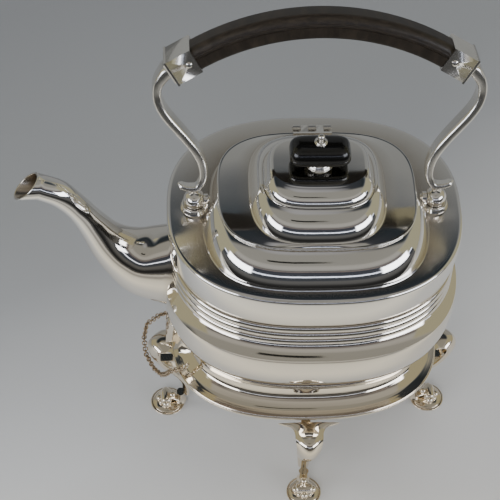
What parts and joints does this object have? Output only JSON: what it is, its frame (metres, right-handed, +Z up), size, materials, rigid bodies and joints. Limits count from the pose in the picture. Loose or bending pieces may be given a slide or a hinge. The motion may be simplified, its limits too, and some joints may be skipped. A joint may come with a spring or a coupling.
{
  "type": "spirit kettle on stand",
  "caption": "Swing-handled silver kettle with stepped hinged lid and curved spout, tilting on a chained pin above a footed stand with a spirit burner.",
  "frame": {"origin": "on the ground, in the middle of the whole object's footprint box", "axes": "+Z up, -Y to the front, the spout points along -X; metres"},
  "size_m": [0.2764, 0.1702, 0.3292],
  "materials": {
    "polished_silver": "mirror-polished silver with a slightly warm cast",
    "ebonised_wood": "black, polished to a gloss",
    "dark_wood": "dark brown wood with a soft sheen",
    "wick_cotton": "matt woven cotton"
  },
  "bodies": {
    "stand": {"stand_ring": "polished_silver", "leg_front": "polished_silver", "leg_back": "polished_silver", "leg_left": "polished_silver", "leg_right": "polished_silver", "foot_front": "polished_silver", "foot_back": "polished_silver", "foot_left": "polished_silver", "foot_right": "polished_silver", "tilt_fork": "polished_silver", "chain_eye": "polished_silver", "pin_chain": "polished_silver", "burner_ring": "polished_silver", "burner_stays": "polished_silver"},
    "tilt_pin": {"tilt_pin": "polished_silver"},
    "burner": {"burner_bowl": "polished_silver", "burner_collar": "polished_silver", "burner_wick": "wick_cotton"},
    "snuffer": {"snuffer": "polished_silver"},
    "kettle": {"kettle_body": "polished_silver", "kettle_shoulder": "polished_silver", "spout": "polished_silver", "tilt_lug": "polished_silver", "lid_hinge_leaf": "polished_silver", "lid_hinge_pin": "polished_silver", "handle_lug_left": "polished_silver", "handle_lug_right": "polished_silver", "handle_pin_left": "polished_silver", "handle_pin_right": "polished_silver"},
    "lid": {"lid_shell": "polished_silver", "lid_skirt": "polished_silver", "lid_knuckles": "polished_silver", "finial_collar": "polished_silver", "finial_knob": "ebonised_wood", "finial_stud": "polished_silver", "finial_nut": "polished_silver"},
    "handle": {"handle_arm_left": "polished_silver", "handle_arm_right": "polished_silver", "handle_ball_left": "polished_silver", "handle_ball_right": "polished_silver", "handle_socket_left": "polished_silver", "handle_socket_right": "polished_silver", "handle_grip": "dark_wood", "grip_rivets": "polished_silver"}
  },
  "joints": [
    {"name": "kettle_tilt", "type": "hinge", "parent": "stand", "child": "kettle", "pos_m": [-0.04625, 0, 0.098], "axis": [0, -1, 0], "range_deg": [0, 38]},
    {"name": "handle_swing", "type": "hinge", "parent": "kettle", "child": "handle", "pos_m": [0.03775, 0, 0.212], "axis": [1, 0, 0], "range_deg": [0, 75]},
    {"name": "lid_hinge", "type": "hinge", "parent": "kettle", "child": "lid", "pos_m": [0.03775, 0.0452, 0.223], "axis": [-1, 0, 0], "range_deg": [0, 60]},
    {"name": "pin_pull", "type": "slide", "parent": "stand", "child": "tilt_pin", "axis": [0, 1, 0], "range_m": [0, 0.014]},
    {"name": "burner_lift", "type": "slide", "parent": "stand", "child": "burner", "axis": [0, 0, 1], "range_m": [0, 0.006]},
    {"name": "snuffer_lift", "type": "slide", "parent": "burner", "child": "snuffer", "axis": [0, 0, 1], "range_m": [0, 0.008]}
  ]
}
